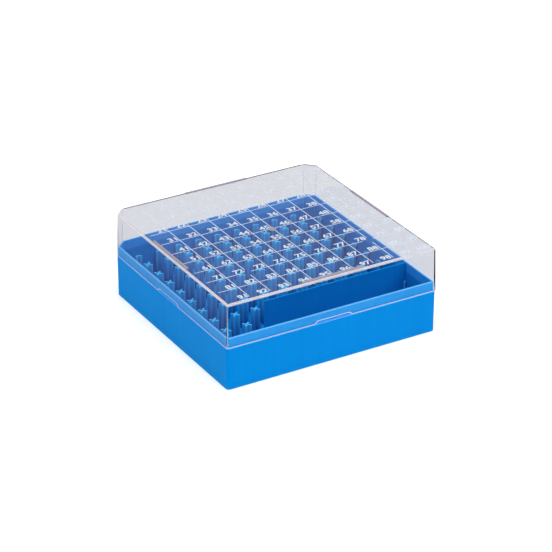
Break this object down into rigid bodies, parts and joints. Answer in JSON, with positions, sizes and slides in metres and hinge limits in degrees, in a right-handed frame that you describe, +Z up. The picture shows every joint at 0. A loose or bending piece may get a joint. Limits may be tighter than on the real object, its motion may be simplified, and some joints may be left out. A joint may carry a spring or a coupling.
{
  "type": "cryogenic storage box",
  "caption": "Square freezer box for screw-cap vials: coloured base tray with free-standing posts and a clear lift-off lid printed with a numbered grid, two back corners cut.",
  "frame": {"origin": "centre of the box's underside, on the surface that it stands on", "axes": "+Z up; +X to the right along the front face, where the printed numbers read upright; +Y to the back, where the two corners are cut"},
  "size_m": [0.133, 0.133, 0.0522],
  "materials": {
    "base_plastic": "semi-gloss moulded polycarbonate, opaque azure blue",
    "lid_plastic": "clear glossy moulded polycarbonate",
    "ink": "white screen-printed ink"
  },
  "bodies": {
    "base": {"base_tray": "base_plastic", "front_wall_posts": "base_plastic", "back_wall_posts": "base_plastic", "divider": "base_plastic", "post_row_1": "base_plastic", "post_row_2": "base_plastic", "post_row_3": "base_plastic", "post_row_4": "base_plastic", "post_row_5": "base_plastic", "post_row_6": "base_plastic", "post_row_7": "base_plastic", "post_row_8": "base_plastic", "post_row_9": "base_plastic"},
    "lid": {"lid_shell": "lid_plastic", "lid_gate_disc": "lid_plastic", "grid_print": "ink", "stack_rib_front": "lid_plastic", "stack_rib_right": "lid_plastic", "stack_rib_back": "lid_plastic", "stack_rib_left": "lid_plastic"}
  },
  "joints": [
    {"name": "lid_lift", "type": "slide", "parent": "base", "child": "lid", "axis": [0, 0, 1], "range_m": [0, 0.06]}
  ]
}
